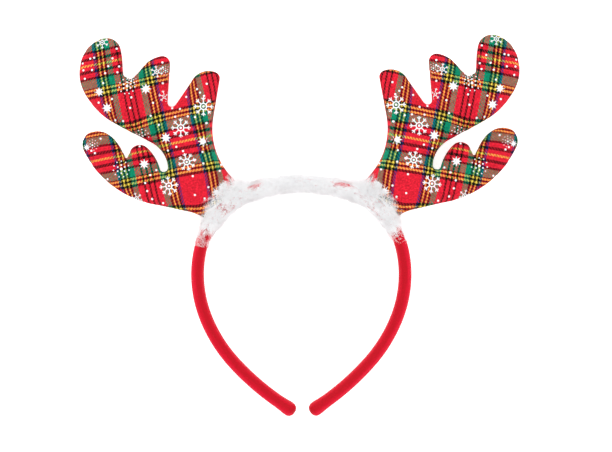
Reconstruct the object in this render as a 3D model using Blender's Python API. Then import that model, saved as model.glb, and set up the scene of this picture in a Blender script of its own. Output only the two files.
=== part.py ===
"""Reindeer antler headband, lying flat on its back.

The floor is z = 0, +Y runs from the band's tips to the antlers, and the band is
mirror-symmetric about x = 0. Table sizes are in millimetres and are turned into
metres where a mesh is made.
"""

import math

import bmesh
import bpy
import numpy as np
from mathutils.geometry import delaunay_2d_cdt

# Sizes in millimetres
MM = 0.001
GAP = 0.3
MID_HEIGHT = 7.6
CENTRE_Y = -0.14
BAND_TOP_Y = 23.6
BAND_HALF_THICK = 3.6
BAND_HALF_DEPTH = 5.0
BAND_STEP = 5.5
BAND_SIDES = 12
PADDING = 0.62
PADDING_FIRM = 10.5
ROOT_SHARE = 0.66
ROOT_REACH = 24.0
GRID = 0.5
OUTLINE_STEP = 2.7
RIM_INSETS = (0.6, 2.0, 4.6)
FILL_STEP = 6.5
TRIM_SIDES = 12
TRIM_STEP = 4.0
TRIM_SEED = 11

# Half of the band's centre line, from its top to its tip
BAND_ARCS = (
    # name, radius, turn in degrees
    ("crown", 90.0, 13.0),
    ("brow", 57.0, 18.0),
    ("shoulder", 42.5, 43.0),
    ("temple", 61.0, 16.0),
    ("cheek", 66.5, 22.0),
    ("jaw", 83.0, 20.0),
    ("end", 147.0, 17.1),
)

# How the band's section swells and closes towards its tip
BAND_TIP = (
    # distance from the end, share of the thickness, share of the depth
    (11.0, 1.00, 1.00),
    (7.5, 1.06, 1.00),
    (4.5, 1.14, 1.00),
    (2.2, 1.10, 0.93),
    (0.8, 0.86, 0.76),
    (0.0, 0.45, 0.40),
)

# The left antler's outline is a belt that runs round these circles
ANTLER_CIRCLES = (
    # name, x, y, radius, side (+1 a tip that bulges out, -1 a notch)
    ("root_top", -24.0, 9.5, 2.0, 1),
    ("waist", -10.0, 54.5, 39.0, -1),
    ("inner_corner", -48.2, 83.2, 3.6, 1),
    ("inner_top", -51.0, 76.0, 11.0, 1),
    ("inner_notch", -71.6, 69.8, 2.4, -1),
    ("middle_corner", -76.6, 91.6, 4.2, 1),
    ("middle_top", -74.0, 78.0, 18.0, 1),
    ("outer_notch", -95.2, 86.6, 3.6, -1),
    ("tip_side", -150.0, 90.0, 51.0, 1),
    ("tip_corner", -107.3, 98.6, 7.4, 1),
    ("tip_top", -103.9, 88.3, 18.5, 1),
    ("tip_belly", -98.6, 86.8, 24.0, 1),
    ("beam_belly", -84.0, 93.0, 39.6, 1),
    ("slit_bend", -91.2, 32.2, 17.1, -1),
    ("slit_end", -76.5, 33.1, 2.2, -1),
    ("small_side", -102.0, 27.0, 24.0, 1),
    ("small_top", -89.8, 40.6, 5.7, 1),
    ("small_notch", -97.3, 40.0, 1.2, -1),
    ("low_side", -119.0, 35.0, 20.8, 1),
    ("low_top", -113.2, 43.1, 10.9, 1),
    ("low_corner", -114.9, 46.8, 6.9, 1),
    ("low_back", -87.6, 55.3, 35.0, 1),
    ("low_belly", -67.8, 72.2, 61.0, 1),
    ("root_under", -67.0, -12.0, 21.0, -1),
    ("root_low", -40.0, -6.0, 2.0, 1),
)

# How far the feather trim reaches round the band, from its middle to its end
TRIM_SECTIONS = (
    # distance along the band, reach outwards, reach inwards, height over mid
    (0.0, 5.2, 5.0, 6.6),
    (10.0, 5.0, 4.9, 6.5),
    (20.0, 5.4, 5.0, 6.9),
    (28.0, 6.0, 5.0, 7.5),
    (35.0, 7.6, 5.0, 7.8),
    (42.0, 9.2, 5.0, 7.8),
    (49.0, 9.0, 5.0, 7.8),
    (55.0, 6.8, 5.0, 7.7),
    (61.0, 5.2, 4.9, 7.1),
    (66.0, 4.8, 4.7, 6.4),
    (71.5, 4.6, 4.6, 5.9),
)
LOCK_LENGTH = 3.2
LOCK_SPREAD = 1.3
LOCK_WAIST = 0.62
LOCK_POINT = 0.2


def clear_scene():
    """Empty the startup scene."""
    for obj in list(bpy.data.objects):
        bpy.data.objects.remove(obj)


def new_material(name, colour, roughness, sheen):
    """A plain Principled material for one sub-part."""
    material = bpy.data.materials.new(name)
    material.use_nodes = True
    shader = material.node_tree.nodes["Principled BSDF"]
    shader.inputs["Base Color"].default_value = (*colour, 1.0)
    shader.inputs["Roughness"].default_value = roughness
    shader.inputs["Sheen Weight"].default_value = sheen
    material.diffuse_color = (*colour, 1.0)
    return material


def new_object(name, points, faces, material=None):
    """A smooth mesh object from points in millimetres, with its faces turned out."""
    mesh = bpy.data.meshes.new(name)
    placed = (np.asarray(points) - (0.0, CENTRE_Y, 0.0)) * MM
    mesh.from_pydata([tuple(p) for p in placed], [], faces)
    shape = bmesh.new()
    shape.from_mesh(mesh)
    bmesh.ops.remove_doubles(shape, verts=shape.verts, dist=1e-7)
    bmesh.ops.recalc_face_normals(shape, faces=shape.faces)
    if shape.calc_volume(signed=True) < 0:
        bmesh.ops.reverse_faces(shape, faces=shape.faces)
    shape.to_mesh(mesh)
    shape.free()
    mesh.shade_smooth()
    obj = bpy.data.objects.new(name, mesh)
    bpy.context.scene.collection.objects.link(obj)
    if material is not None:
        mesh.materials.append(material)
    return obj


def hide_cutter(obj):
    """A cutter is drawn as wires and never rendered."""
    obj.hide_render = True
    obj.display_type = "WIRE"


def arc_path(start_y, rows, step):
    """Points and headings of the half band, from its top round to its tip."""
    point = np.array([0.0, start_y])
    heading = math.pi
    points = [point]
    headings = [heading]
    for _, radius, turn in rows:
        angle = math.radians(turn)
        count = max(1, round(radius * angle / step))
        part = angle / count
        for _ in range(count):
            way = heading + part / 2
            chord = 2 * radius * math.sin(part / 2)
            point = point + chord * np.array([math.cos(way), math.sin(way)])
            heading += part
            points.append(point)
            headings.append(heading)
    return np.array(points), np.array(headings)


def outward(headings):
    """Unit vectors that point away from the head, to the right of each heading."""
    return np.stack([np.sin(headings), -np.cos(headings)], axis=-1)


def whole_path(half_points, half_headings):
    """The band from its right tip over its top to its left tip, with outward vectors."""
    side = outward(half_headings)
    flip = np.array([-1.0, 1.0])
    points = np.concatenate([half_points[:0:-1] * flip, half_points])
    sides = np.concatenate([side[:0:-1] * flip, side])
    steps = np.linalg.norm(np.diff(half_points, axis=0), axis=1)
    along = np.concatenate([[0.0], np.cumsum(steps)])
    return points, sides, np.concatenate([-along[:0:-1], along])


def sweep(points, sides, sections):
    """A closed tube: one ring of (outwards, up) offsets at each path point."""
    count = len(sections[0])
    verts = []
    for point, side, ring in zip(points, sides, sections):
        for reach, rise in ring:
            flat = point + side * reach
            verts.append((flat[0], flat[1], MID_HEIGHT + rise))
    faces = []
    for i in range(len(sections) - 1):
        for j in range(count):
            k = (j + 1) % count
            faces.append((i * count + j, i * count + k, (i + 1) * count + k, (i + 1) * count + j))
    last = (len(sections) - 1) * count
    faces.append(tuple(range(count)))
    faces.append(tuple(last + j for j in reversed(range(count))))
    return verts, faces


def oval(count, out, back, up, down, square):
    """A rounded section whose four reaches differ; a higher square is boxier.

    It has a flat facet at each of the four reaches.
    """
    ring = []
    most = math.cos(math.pi / count) ** (2 / square)
    for j in range(count):
        angle = 2 * math.pi * (j + 0.5) / count
        c = math.cos(angle)
        s = math.sin(angle)
        reach = math.copysign(abs(c) ** (2 / square), c) * (out if c > 0 else back) / most
        rise = math.copysign(abs(s) ** (2 / square), s) * (up if s > 0 else down) / most
        ring.append((reach, rise))
    return ring


def band_solid(name, grow, material=None):
    """The fabric-covered band with swollen round tips; grow makes it a cutter."""
    points, headings = arc_path(BAND_TOP_Y, BAND_ARCS, BAND_STEP)
    points, sides, along = whole_path(points, headings)
    total = along[-1]
    keep = np.abs(along) < total - BAND_TIP[0][0]
    tip = np.array([total - row[0] for row in BAND_TIP])
    spots = np.concatenate([-tip[::-1], along[keep], tip])
    shares = np.ones((len(spots), 2))
    shares[-len(tip):] = [row[1:] for row in BAND_TIP]
    shares[:len(tip)] = shares[:-len(tip) - 1:-1]
    path = np.stack([np.interp(spots, along, points[:, k]) for k in range(2)], axis=1)
    turned = np.stack([np.interp(spots, along, sides[:, k]) for k in range(2)], axis=1)
    turned /= np.linalg.norm(turned, axis=1)[:, None]
    rings = []
    for thick, deep in shares:
        half = BAND_HALF_THICK * thick + grow
        depth = BAND_HALF_DEPTH * deep + grow
        rings.append(oval(BAND_SIDES, half, half, depth, depth, 3.0))
    verts, faces = sweep(path, turned, rings)
    return new_object(name, verts, faces, material)


def belt(rows, step, grow):
    """The closed line round the circles, each grown by the same amount."""
    centres = np.array([row[1:3] for row in rows])
    radii = np.array([(row[3] + grow * row[4]) * row[4] for row in rows])
    count = len(rows)
    headings = []
    for i in range(count):
        j = (i + 1) % count
        dx, dy = centres[j] - centres[i]
        lean = (radii[j] - radii[i]) / math.hypot(dx, dy)
        headings.append(math.atan2(dy, dx) - math.asin(max(-1.0, min(1.0, lean))))
    line = []
    for i in range(count):
        start = headings[i - 1]
        turn = (headings[i] - start + math.pi) % (2 * math.pi) - math.pi
        parts = max(1, round(abs(turn * radii[i]) / step))
        for k in range(parts + 1):
            way = start + turn * k / parts
            line.append(centres[i] + radii[i] * np.array([math.sin(way), -math.cos(way)]))
    return np.array(line)


def even_line(line, step):
    """A closed line cut into even steps."""
    closed = np.concatenate([line, line[:1]])
    along = np.concatenate([[0.0], np.cumsum(np.linalg.norm(np.diff(closed, axis=0), axis=1))])
    count = round(along[-1] / step)
    spots = np.arange(count) * along[-1] / count
    return np.stack([np.interp(spots, along, closed[:, k]) for k in range(2)], axis=1)


def inside(points, line):
    """Whether each point lies inside the closed line."""
    found = np.zeros(len(points), bool)
    ends = np.roll(line, -1, axis=0)
    for (ax, ay), (bx, by) in zip(line, ends):
        if ay == by:
            continue
        spans = (ay > points[:, 1]) != (by > points[:, 1])
        cross = ax + (points[:, 1] - ay) * (bx - ax) / (by - ay)
        found ^= spans & (points[:, 0] < cross)
    return found


def distance_to(points, line):
    """Distance from each point to the closed line."""
    best = np.full(len(points), 1e9)
    ends = np.roll(line, -1, axis=0)
    for a, b in zip(line, ends):
        run = b - a
        share = np.clip(((points - a) @ run) / max(run @ run, 1e-12), 0.0, 1.0)
        best = np.minimum(best, np.linalg.norm(points - a - share[:, None] * run, axis=1))
    return best


def padding_field(line):
    """The height of stuffed cloth sewn along the line, as a function of x and y.

    A membrane held at the line and blown up evenly gives the height squared, so
    wide parts swell and narrow tines stay thin. The filling stops the widest parts
    from swelling much past their neighbours, and the root is sewn down flatter where
    it meets the band.
    """
    low = line.min(axis=0) - 2 * GRID
    size = np.ceil((line.max(axis=0) + 2 * GRID - low) / GRID).astype(int) + 1
    xs = low[0] + GRID * np.arange(size[0])
    ys = low[1] + GRID * np.arange(size[1])
    nodes = np.stack(np.meshgrid(xs, ys, indexing="ij"), axis=-1)
    held = inside(nodes.reshape(-1, 2), line).reshape(size)
    colour = (np.arange(size[0])[:, None] + np.arange(size[1])) % 2
    film = np.zeros(size)
    for _ in range(260):
        for half in (0, 1):
            around = np.zeros(size)
            around[1:-1, 1:-1] = (
                film[2:, 1:-1] + film[:-2, 1:-1] + film[1:-1, 2:] + film[1:-1, :-2]
            )
            better = (around + GRID * GRID) / 4
            here = held & (colour == half)
            film[here] += 1.9 * (better[here] - film[here])

    band = root_line(0.0)[::2]

    def height(points):
        spot = (np.asarray(points) - low) / GRID
        cell = np.clip(np.floor(spot).astype(int), 0, size - 2)
        u, v = (spot - cell).T
        i, j = cell.T
        near = film[i, j] * (1 - u) * (1 - v) + film[i + 1, j] * u * (1 - v)
        far = film[i, j + 1] * (1 - u) * v + film[i + 1, j + 1] * u * v
        soft = PADDING * np.sqrt(2 * np.maximum(near + far, 0.0))
        full = soft / np.sqrt(1 + (soft / PADDING_FIRM) ** 2)
        gap = np.linalg.norm(np.asarray(points)[:, None] - band[None], axis=2).min(axis=1)
        ease = np.clip((gap - BAND_HALF_THICK) / ROOT_REACH, 0.0, 1.0)
        return full * (ROOT_SHARE + (1 - ROOT_SHARE) * ease * ease * (3 - 2 * ease))

    return height


def root_line(offset):
    """The left half of the band's centre line moved outwards."""
    points, headings = arc_path(BAND_TOP_Y, BAND_ARCS, 1.0)
    return points + outward(headings) * offset


def cut_at_band(line, offset, step):
    """The antler's outline, ended along the band instead of at its root corners."""
    cut = root_line(offset)
    cut = cut[inside(cut, line)]
    hidden = np.linalg.norm(line[:, None] - root_line(0.0)[None], axis=2).min(axis=1) < offset
    band_inside = np.concatenate([root_line(offset), root_line(offset)[::-1] * (-1, 1)])
    hidden |= inside(line, band_inside)
    first = np.flatnonzero(hidden & ~np.roll(hidden, -1))[0] + 1
    kept = np.roll(line, -first, axis=0)[: (~hidden).sum()]
    along = np.linalg.norm(np.diff(cut, axis=0), axis=1).sum()
    parts = max(2, round(along / step))
    picks = cut[np.round(np.linspace(0, len(cut) - 1, parts + 1)).astype(int)]
    if np.linalg.norm(picks[0] - kept[-1]) > np.linalg.norm(picks[-1] - kept[-1]):
        picks = picks[::-1]
    kept = kept[1:] if np.linalg.norm(kept[0] - picks[-1]) < 0.4 * step else kept
    kept = kept[:-1] if np.linalg.norm(kept[-1] - picks[0]) < 0.4 * step else kept
    return np.concatenate([kept, picks]), len(kept)


def fill_points(line):
    """Points inside the line: rows that follow the rim, then an even lattice."""
    ahead = np.roll(line, -1, axis=0) - np.roll(line, 1, axis=0)
    ahead /= np.linalg.norm(ahead, axis=1)[:, None]
    inward = np.stack([-ahead[:, 1], ahead[:, 0]], axis=1)
    rows = []
    for level, inset in enumerate(RIM_INSETS):
        row = (line + inward * inset)[:: 1 if level < 2 else 2]
        row = row[inside(row, line)]
        rows.append(row[distance_to(row, line) > 0.93 * inset])
    low = line.min(axis=0)
    high = line.max(axis=0)
    lattice = []
    for j, y in enumerate(np.arange(low[1], high[1], FILL_STEP * 0.866)):
        for x in np.arange(low[0] + (j % 2) * FILL_STEP / 2, high[0], FILL_STEP):
            lattice.append((x, y))
    lattice = np.array(lattice)
    lattice = lattice[inside(lattice, line)]
    rows.append(lattice[distance_to(lattice, line) > RIM_INSETS[-1] + 0.5 * FILL_STEP])
    return np.concatenate(rows)


def antler_shape(grow):
    """The antler's whole outline and the height of its padding."""
    full = even_line(belt(ANTLER_CIRCLES, 0.8, grow), OUTLINE_STEP / 2)
    return full, padding_field(full)


def antler_solid(name, side, grow, root_offset, material=None):
    """A stuffed antler: two cloth faces blown up from one outline, ended at the band."""
    full, height = antler_shape(grow)
    line, rim = cut_at_band(full[::2], root_offset, OUTLINE_STEP)
    points = np.concatenate([line, fill_points(line)])
    out, _, triangles, origin, _, _ = delaunay_2d_cdt(
        [tuple(p) for p in points], [], [list(range(len(line)))], 1, 1e-6
    )
    points = np.array([tuple(p) for p in out])
    source = np.array([found[0] if found else -1 for found in origin])
    rise = height(points) + grow
    rise[(source >= 0) & (source < rim)] = 0.0
    count = len(points)
    flat = rise < 1e-6
    top = np.column_stack([points[:, 0], points[:, 1], MID_HEIGHT + rise])
    under = np.column_stack([points[:, 0], points[:, 1], MID_HEIGHT - rise])
    below = np.where(flat, np.arange(count), count + np.arange(count))
    faces = [tuple(t) for t in triangles]
    faces += [tuple(int(below[v]) for v in reversed(t)) for t in triangles]
    place = {int(s): i for i, s in enumerate(source) if s >= 0}
    for i in range(rim - 1, len(line)):
        a = place[i]
        b = place[(i + 1) % len(line)]
        wall = [a, b, int(below[b]), int(below[a])]
        wall = list(dict.fromkeys(wall))
        if len(wall) > 2:
            faces.append(tuple(reversed(wall)))
    verts = np.concatenate([top, under])
    verts[:, 0] *= -side
    used = sorted({v for face in faces for v in face})
    index = {v: i for i, v in enumerate(used)}
    faces = [tuple(index[v] for v in face) for face in faces]
    return new_object(name, verts[used], faces, material)


def lock(verts, face, centre, length, lean):
    """Grow one pointed lock out of a face: adds two rings and returns its faces."""
    corners = np.array([verts[v] for v in face])
    middle = corners.mean(axis=0)
    away = middle - centre
    away /= np.linalg.norm(away)
    base = len(verts)
    for share, scale in ((0.55, LOCK_WAIST), (1.0, LOCK_POINT)):
        for corner in corners:
            spot = middle + (corner - middle) * scale
            spot = spot + away * length * share + lean * share * share
            spot[2] = max(spot[2], 0.0)
            verts.append(tuple(spot))
    faces = []
    count = len(face)
    rings = (list(face), list(range(base, base + count)), list(range(base + count, base + 2 * count)))
    for near, far in zip(rings, rings[1:]):
        for k in range(count):
            n = (k + 1) % count
            faces.append((near[k], near[n], far[n], far[k]))
    faces.append(tuple(rings[2]))
    return faces


def trim_solid(name, cutters, material):
    """Feather trim: a sleeve round the band and the antlers' roots, in pointed locks."""
    points, headings = arc_path(BAND_TOP_Y, BAND_ARCS, 1.0)
    points, sides, along = whole_path(points, headings)
    table = np.array(TRIM_SECTIONS)
    reach = table[-1, 0]
    count = 2 * round(reach / TRIM_STEP) + 1
    spots = np.linspace(-reach, reach, count)
    path = np.stack([np.interp(spots, along, points[:, k]) for k in range(2)], axis=1)
    turned = np.stack([np.interp(spots, along, sides[:, k]) for k in range(2)], axis=1)
    turned /= np.linalg.norm(turned, axis=1)[:, None]
    rings = []
    for spot in np.abs(spots):
        out, back, up = (np.interp(spot, table[:, 0], table[:, k]) for k in (1, 2, 3))
        down = min(up, MID_HEIGHT)
        rings.append(oval(TRIM_SIDES, out, back, up, down, 3.2))
    verts, faces = sweep(path, turned, rings)
    rng = np.random.default_rng(TRIM_SEED)
    root, height = antler_shape(GAP)
    built = faces[-2:]
    for number, face in enumerate(faces[:-2]):
        i, j = divmod(number, TRIM_SIDES)
        middle = np.mean([verts[v] for v in face], axis=0)
        low = middle[2] < 0.25 * MID_HEIGHT
        spot = np.array([[-abs(middle[0]), middle[1]]])
        if inside(spot, root)[0]:
            low |= abs(middle[2] - MID_HEIGHT) < height(spot)[0] + 0.5
        if (i + j) % 2 or low:
            built.append(face)
            continue
        mid = (path[i] + path[i + 1]) / 2
        centre = np.array([mid[0], mid[1], MID_HEIGHT])
        length = LOCK_LENGTH * (0.75 + 0.5 * rng.random())
        lean = rng.normal(0.0, LOCK_SPREAD, 3)
        built += lock(verts, face, centre, length, lean)
    obj = new_object(name, verts, built, material)
    for cutter in cutters:
        cut = obj.modifiers.new("clear " + cutter.name, "BOOLEAN")
        cut.operation = "DIFFERENCE"
        cut.solver = "EXACT"
        cut.object = cutter
    return obj


def main():
    clear_scene()
    cloth = new_material("band cloth", (0.72, 0.015, 0.04), 0.7, 0.4)
    tartan = new_material("tartan cloth", (0.60, 0.05, 0.06), 0.85, 0.2)
    feather = new_material("white feather", (0.93, 0.92, 0.91), 0.9, 0.3)
    band_solid("headband", 0.0, cloth)
    root = BAND_HALF_THICK + GAP
    antler_solid("antler_left", -1, 0.0, root, tartan)
    antler_solid("antler_right", 1, 0.0, root, tartan)
    cutters = [
        band_solid("cutter_band", GAP),
        antler_solid("cutter_left", -1, GAP, 0.0),
        antler_solid("cutter_right", 1, GAP, 0.0),
    ]
    for cutter in cutters:
        hide_cutter(cutter)
    trim_solid("feather_trim", cutters, feather)


main()
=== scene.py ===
"""Dresses a reindeer antler headband: red cloth sleeve, stuffed plaid antlers with a
printed snow pattern, and a white feather trim, lying on a pale floor.

Tables hold millimetres, from an origin that lies CENTRE_Y off the frame's own. Meshes are
made in metres in the frame's axes.
"""

from math import asin, atan2, copysign, cos, hypot, pi, radians, sin

import bmesh
import bpy
import numpy as np
from bpy.props import FloatProperty, FloatVectorProperty, IntProperty, PointerProperty
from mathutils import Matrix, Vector
from mathutils.bvhtree import BVHTree
from mathutils.geometry import delaunay_2d_cdt
from numpy.linalg import norm


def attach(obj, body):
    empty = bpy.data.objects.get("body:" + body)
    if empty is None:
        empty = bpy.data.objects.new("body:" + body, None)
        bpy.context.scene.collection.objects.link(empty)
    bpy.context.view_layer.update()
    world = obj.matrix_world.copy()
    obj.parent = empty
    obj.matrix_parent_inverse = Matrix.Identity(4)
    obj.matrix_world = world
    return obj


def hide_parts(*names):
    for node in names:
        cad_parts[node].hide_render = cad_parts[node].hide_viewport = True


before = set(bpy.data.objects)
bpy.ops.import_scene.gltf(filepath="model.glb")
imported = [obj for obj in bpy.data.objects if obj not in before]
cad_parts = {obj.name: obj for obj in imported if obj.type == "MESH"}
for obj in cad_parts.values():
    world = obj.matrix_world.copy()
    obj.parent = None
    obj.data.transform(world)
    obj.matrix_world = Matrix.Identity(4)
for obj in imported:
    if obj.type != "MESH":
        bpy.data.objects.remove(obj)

bl_info = {
    "name": "Plaid Antler Headband",
    "version": (1, 0, 0),
    "blender": (4, 5, 0),
    "location": "3D View > Sidebar > Headband",
    "description": "Red headband with stuffed plaid antlers and a feather trim",
    "category": "Add Mesh",
}

MM = 0.001
ROOT = "root"
MID_HEIGHT = 7.6
CENTRE_Y = -0.14
FLOOR_GAP = 0.05
PATH_STEP = 0.8

# Band
BAND_TOP_Y = 23.6
BAND_HALF_THICK = 3.6
BAND_HALF_DEPTH = 5.0
BAND_SQUARENESS = 0.72
BAND_SIDES = 28
BAND_STEP = 1.6

# Antlers
ROOT_GAP = 0.3
ROOT_SHARE = 0.66
ROOT_REACH = 24.0
FILM_GRID = 0.5
FILM_ROUNDS = 300
FILM_PUSH = 1.9
OUTLINE_CURVE_STEP = 0.5
SEAM_ROWS = (0.15, 0.5, 1.1, 2.0)
SEWN_MARGIN = 3.0
SETTLING_FRAMES = 20
CLOTH = {
    "quality": 6,
    "tension_stiffness": 12.0,
    "compression_stiffness": 4.0,
    "shear_stiffness": 3.0,
    "bending_stiffness": 0.02,
    "tension_damping": 5.0,
    "compression_damping": 5.0,
    "use_pressure": True,
}

# Half of the band's centre line, from its top to its tip
BAND_ARCS = (
    # name, radius, turn in degrees
    ("crown", 90, 13),
    ("brow", 57, 18),
    ("shoulder", 42.5, 43),
    ("temple", 61, 16),
    ("cheek", 66.5, 22),
    ("jaw", 83, 20),
    ("end", 147, 17.1),
)

# How the band's sleeve swells and closes towards its tip
BAND_TIP = (
    # distance from the end, share of the full size
    (11, 1), (7.5, 1.05), (4.5, 1.12), (2.6, 1.09), (1.2, 0.90), (0.4, 0.62), (0, 0.34),
)

# The left antler's outline is a belt that runs round these circles
ANTLER_CIRCLES = (
    # name, x, y, radius, side (+1 a tip that bulges out, -1 a notch)
    ("root_top", -24, 9.5, 2, 1),
    ("waist", -10, 54.5, 39, -1),
    ("inner_corner", -48.2, 83.2, 3.6, 1),
    ("inner_top", -51, 76, 11, 1),
    ("inner_notch", -71.6, 69.8, 2.4, -1),
    ("middle_corner", -76.6, 91.6, 4.2, 1),
    ("middle_top", -74, 78, 18, 1),
    ("outer_notch", -95.2, 86.6, 3.6, -1),
    ("tip_side", -150, 90, 51, 1),
    ("tip_corner", -107.3, 98.6, 7.4, 1),
    ("tip_top", -103.9, 88.3, 18.5, 1),
    ("tip_belly", -98.6, 86.8, 24, 1),
    ("beam_belly", -84, 93, 39.6, 1),
    ("slit_bend", -91.2, 32.2, 17.1, -1),
    ("slit_end", -76.5, 33.1, 2.2, -1),
    ("small_side", -102, 27, 24, 1),
    ("small_top", -89.8, 40.6, 5.7, 1),
    ("small_notch", -97.3, 40, 1.2, -1),
    ("low_side", -119, 35, 20.8, 1),
    ("low_top", -113.2, 43.1, 10.9, 1),
    ("low_corner", -114.9, 46.8, 6.9, 1),
    ("low_back", -87.6, 55.3, 35, 1),
    ("low_belly", -67.8, 72.2, 61, 1),
    ("root_under", -67, -12, 21, -1),
    ("root_low", -40, -6, 2, 1),
)

# The plaid's two thread sets; each stripe ends at its distance from the mirror line
WARP_STRIPES = (
    # colour, where it ends
    ("red", 6.7), ("blue", 8.0), ("black", 9.1), ("yellow", 10.1),
    ("black", 11.5), ("yellow", 12.4), ("black", 13.7), ("green", 16.9),
    ("red", 20.1), ("black", 21.2), ("red", 22.9), ("black", 23.52),
)
WEFT_STRIPES = (
    # colour, where it ends
    ("yellow", 0.6), ("red", 2.8), ("black", 4.5), ("red", 7.0),
    ("black", 8.4), ("green", 13.3), ("black", 13.9), ("yellow", 15.0),
    ("black", 16.3), ("yellow", 17.5), ("black", 19.1), ("red", 26.6),
)
THREAD_WEIGHTS = {"red": 0.4, "green": 0.56, "yellow": 0.2, "black": 1.1, "blue": 0.65}
PLAID_ANGLE = 11.85
WARP_ZERO = (-59.67, 20.3)
WEFT_ZERO = (-66.14, 47.8)
FACE_SCALE = 1.0066
EDGE_ROUND = 5.0
TWILL_THREADS = 4.0
SEAM_HALF_HEIGHT = 0.8
SEAM_REDNESS = 0.55

# Printed snow, in the photo's pixels
FLAKES = (
    # x, y, radius, turn in degrees, arms
    (203.4, 106.4, 9.6, 0, 8), (181, 128, 9.6, 0, 8),
    (187, 162, 9, 15, 8), (169, 186, 9.6, 8, 8),
    (156.5, 71.5, 6, 10, 6), (164.5, 96, 6, 20, 6),
    (101.5, 42, 6.5, 5, 6), (136, 198.5, 6, 12, 6),
)
STARS = (
    # x, y, radius
    (99, 92, 4.7), (107, 108, 5.2), (146, 89, 5.2), (166, 138, 5.2),
    (203.5, 141.5, 5.4), (144, 164, 5), (217, 192, 5), (86, 147, 3.6),
)
SPRAYS = (
    # x, y, radius: a dot inside two rings of smaller dots
    (121, 169, 9), (127, 86, 9), (142, 136, 7.5),
    (92, 145, 6), (165, 70, 5), (131, 81, 6),
)
DOTS = (
    # x, y
    (90, 58.5), (94, 57.6), (82, 63), (83, 70), (84.5, 78.5), (92, 70),
    (108, 66), (118.5, 66), (117, 72), (105, 73), (103, 83), (112, 99),
    (131.6, 97.6), (130.4, 108), (123, 121), (115, 120), (98.5, 102.5), (153.2, 103),
    (151, 116), (162, 62), (162.3, 67), (162.5, 83), (172, 108), (180, 109),
    (175.4, 117), (188, 116.5), (186.2, 96.8), (197, 89), (200, 92.6), (204, 95.8),
    (206.6, 83.6), (206.5, 122.8), (206, 123), (195.2, 117.3), (176.6, 147), (183.3, 151.2),
    (202.6, 152), (203.5, 163.5), (195.4, 160), (219.5, 170.8), (220.8, 164.5), (193, 176.2),
    (195, 195), (204.6, 198.4), (208.5, 187.2), (168, 150.5), (159, 125), (100, 138.5),
    (94.6, 153), (91, 150.6), (107, 179), (150, 175), (145, 183), (156, 170),
    (147, 191), (152, 199), (163, 203), (139, 146), (112, 58), (116, 48),
)
DOT_RADIUS = 1.1

# The photo's scale and width, the pixel at the tables' origin, its turn in radians, and the
# place at its own middle
PIXEL = 0.56
PHOTO_WIDTH = 612
PHOTO_CENTRE = (300.87, 226.0)
PHOTO_TILT = 0.0089
PHOTO_MIDDLE = (2.87, -0.03)

# Where the padding pulls the plaid out of line, in the photo's pixels
PULLS = (
    # x, y, reach, shift right, shift down
    (100, 50, 20, 2.8, 1.6),
    (130, 127, 22, 0, 3.4),
    (215, 168, 24, 2.2, 1),
    (200, 212, 17, 0.8, 4.6),
    (194, 92, 16, 1.2, 0.4),
)

# How far the feather trim reaches round the band, from its middle to its end
TRIM_SECTIONS = (
    # distance along the band, reach outwards, reach inwards, height over mid, cover
    (0, 5.2, 5, 6.6, 1),
    (10, 5, 4.9, 6.5, 1),
    (20, 5.4, 5, 6.9, 0.95),
    (28, 6, 5, 7.5, 0.9),
    (35, 6.4, 5, 7.8, 0.8),
    (42, 6.6, 5, 7.8, 0.75),
    (49, 6.2, 5, 7.8, 0.8),
    (55, 5.8, 5, 7.7, 0.9),
    (59.5, 5.5, 4.9, 7.2, 0.8),
    (62, 5.1, 4.9, 6.9, 0.04),
    (66, 4.8, 4.7, 6.4, 0.03),
    (71.5, 4.6, 4.6, 5.9, 0.03),
)

# Layers of down, from the sleeve (0) out to the trim's own surface (1) and past it.
# A layer that doesn't go all round is on top, and is repeated on the underside.
DOWN_LAYERS = (
    # name, tufts, from and to along the band, from and to round it in degrees,
    # where barbs start and end, their length, tuft width
    ("under", 1550, 0, 71.5, 0, 360, 0.05, 0.5, 4.5, 0.5),
    ("over", 720, 0, 60, 0, 360, 0.4, 1, 5.5, 0.5),
    ("wisps", 340, 0, 62, 0, 360, 0.6, 2.6, 6.5, 1),
    ("end", 95, 61, 71.5, 0, 360, 0.05, 0.35, 4, 2.5),
    ("veil", 16, 39, 50, 12, 60, 1, 2.3, 5.5, 2),
    ("edge", 34, 36, 44, 5, 45, 1.8, 3.9, 5, 2.5),
    ("corner", 50, 29, 39, 5, 70, 1, 4, 7.5, 1.5),
)

# Where the down lies thin and the red sleeve shows
THIN_PLACES = (
    # distance along the band, turn round it in degrees (0 outside, 90 on top),
    # spread of each, share left
    (25, 42, 6, 45, 0.02),
    (46, 134, 6.5, 45, 0.2),
    (46, 30, 5.5, 38, 0.08),
    (2, 60, 3, 25, 0.5),
)

# Down
TRIM_GAP = 0.15
TRIM_ROUNDNESS = 2.67
FLUFF_LIFT = 0.25
BARB_PARTS = 3
BARB_TIP = 0.2
DOWN_SEED = 40

# Studio, in metres
FLOOR_SIZE = 6.0
FLOOR_DROP = 0.0001
FLOOR_GLOW = 0.7
SKY_STRENGTH = 0.95
SOFT_LIGHT_SIZE = 0.7
SOFT_LIGHTS = (
    # name, place, power
    ("main softbox", (-0.35, 0.55, 0.9), 4.0),
    ("fill softbox", (0.6, -0.4, 0.9), 2.0),
)
CAMERA_LENS = 100.0


# Sizes and colours

def colour(name, red, green, blue):
    """A colour property from screen values out of 255."""
    text = "Colour of the " + name.lower() + ", as it looks on a screen"
    values = (red / 255, green / 255, blue / 255)
    return FloatVectorProperty(
        name=name, description=text, subtype="COLOR_GAMMA", size=3, min=0.0, max=1.0, default=values
    )


def length(name, text, size):
    """A length property, given in millimetres."""
    return FloatProperty(
        name=name, description=text, unit="LENGTH", precision=5, min=0.0, default=size * MM
    )


def share(name, text, size, low=0.0, high=1.0):
    """A share property."""
    return FloatProperty(name=name, description=text, subtype="FACTOR", min=low, max=high, default=size)


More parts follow.
